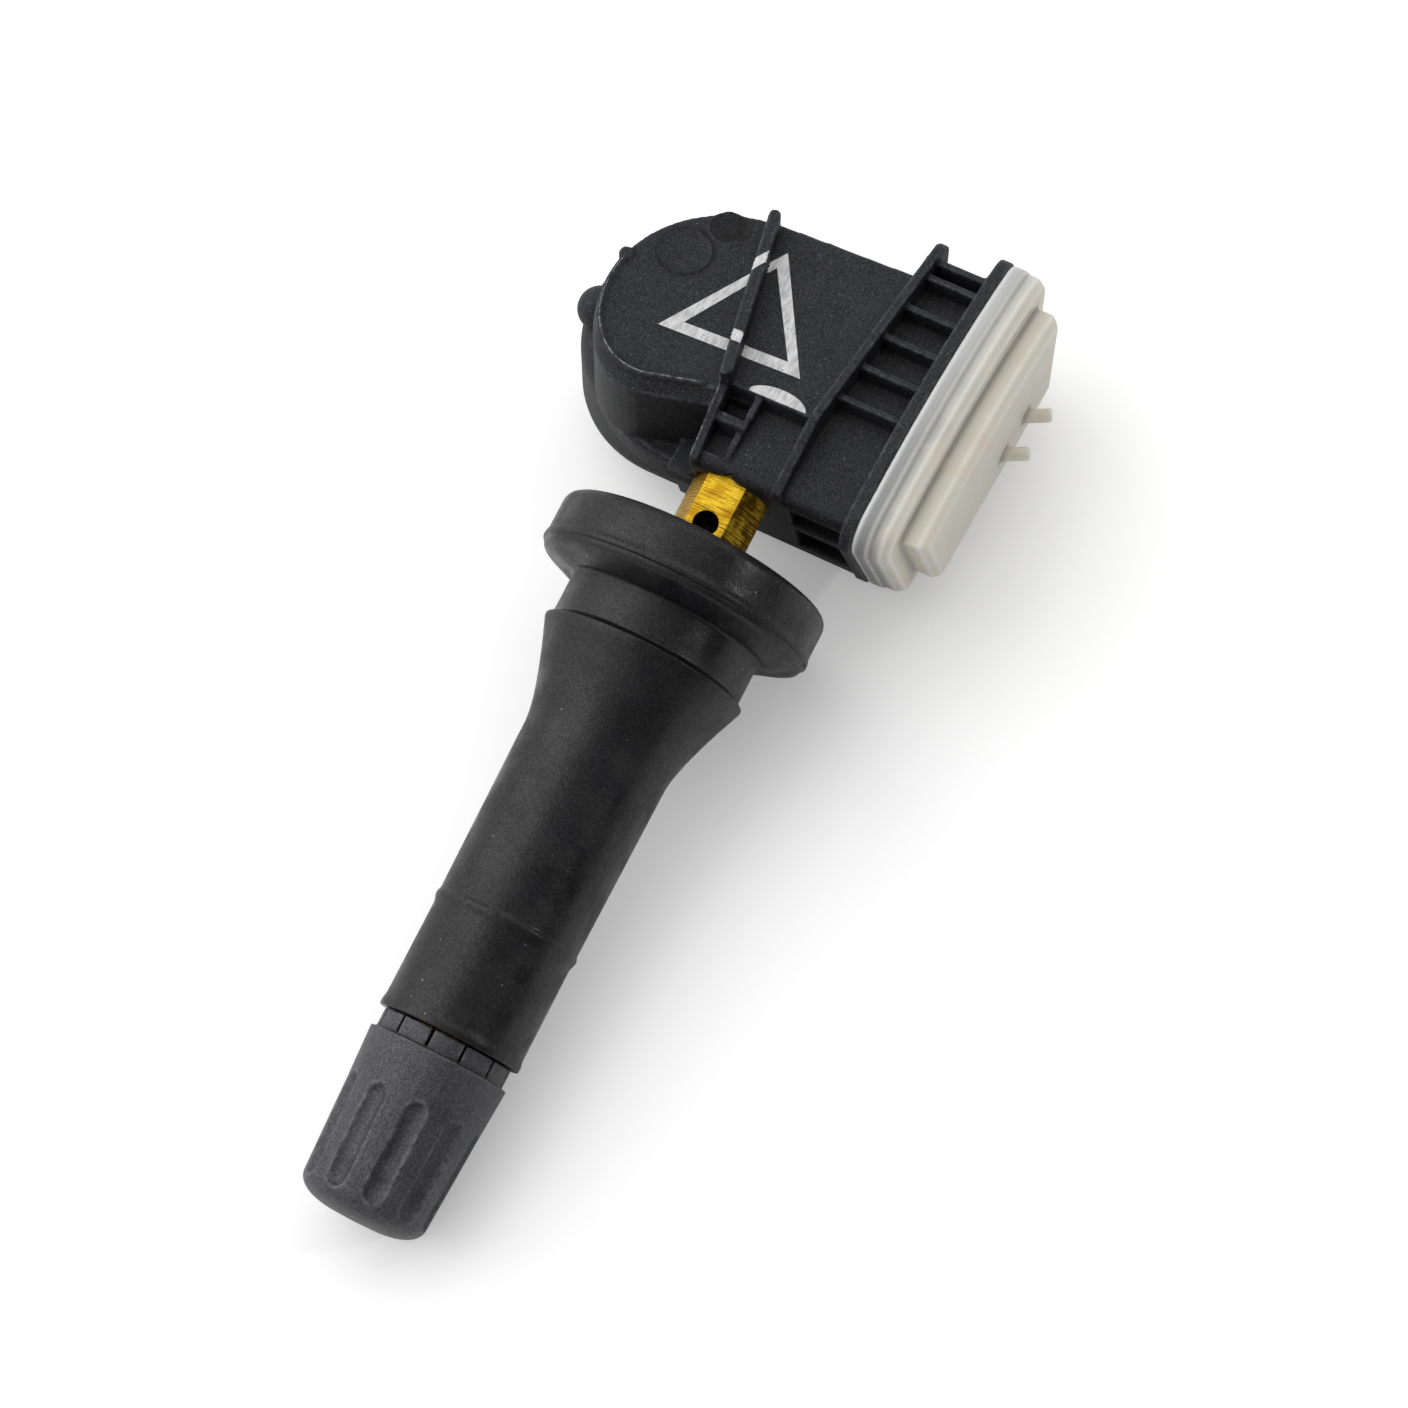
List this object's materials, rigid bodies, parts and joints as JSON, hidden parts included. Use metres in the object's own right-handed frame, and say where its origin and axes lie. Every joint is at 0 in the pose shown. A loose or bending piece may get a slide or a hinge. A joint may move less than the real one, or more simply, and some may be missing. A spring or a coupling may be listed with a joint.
{
  "type": "snap-in tyre pressure sensor",
  "caption": "Rubber snap-in tyre valve with a dust cap and valve core, screwed to a black ribbed sensor housing with a translucent side cover.",
  "frame": {"origin": "point on the valve's axis in the plane of the rim's inner face when the flange is seated on it; the loose flange's flat ring bulges 0.7 mm past it", "axes": "+Y along the valve's axis from the dust cap towards the housing, +Z towards the marked face of the housing, +X towards the translucent cover"},
  "size_m": [0.0325, 0.0769, 0.0216],
  "materials": {
    "black_rubber": "moulded rubber with a faint sheen",
    "brass": "drawn and turned brass",
    "red_gasket": "smooth gasket",
    "steel": "plain steel",
    "cap_plastic": "satin, scuffed",
    "housing_plastic": "glass-filled nylon, fine grain",
    "milky_plastic": "translucent milky plastic",
    "board_laminate": "glass-epoxy laminate",
    "cell_steel": "nickel-plated steel",
    "chip_plastic": "moulded epoxy",
    "silicone": "soft silicone",
    "ferrite": "sintered ferrite",
    "copper": "enamelled copper",
    "ceramic": "sintered ceramic"
  },
  "bodies": {
    "valve_and_housing": {"valve_rubber": "black_rubber", "valve_stem": "brass", "core_barrel": "brass", "core_gasket": "red_gasket", "core_spring": "steel", "sensor_housing": "housing_plastic", "housing_cover": "milky_plastic", "fixing_screw": "steel", "circuit_board": "board_laminate", "coin_cell": "cell_steel", "cell_tab_upper": "cell_steel", "cell_tab_lower": "cell_steel", "sensor_chip": "chip_plastic", "port_seal": "silicone", "coil_core": "ferrite", "coil_winding": "copper", "crystal_can": "cell_steel", "antenna_strip": "copper", "chip_capacitors": "ceramic"},
    "cap_ring": {"cap_seal": "black_rubber"},
    "cap": {"dust_cap": "cap_plastic"},
    "pin": {"core_pin": "steel", "core_seal": "black_rubber"}
  },
  "joints": [
    {"name": "cap_lift", "type": "slide", "parent": "valve_and_housing", "child": "cap_ring", "axis": [0, -1, 0], "range_m": [0, 0.00635]},
    {"name": "cap_turn", "type": "hinge", "parent": "cap_ring", "child": "cap", "pos_m": [0, -0.038, 0], "axis": [0, -1, 0], "range_deg": [0, 2880]},
    {"name": "pin_press", "type": "slide", "parent": "valve_and_housing", "child": "pin", "axis": [0, 1, 0], "range_m": [0, 0.0012], "stiffness_N_per_m": 600, "springref_m": -0.004, "deforming": ["core_spring"]}
  ],
  "couplings": [
    {"joint": "cap_turn", "follows": "cap_lift", "rad_per_m": 7913.3}
  ]
}
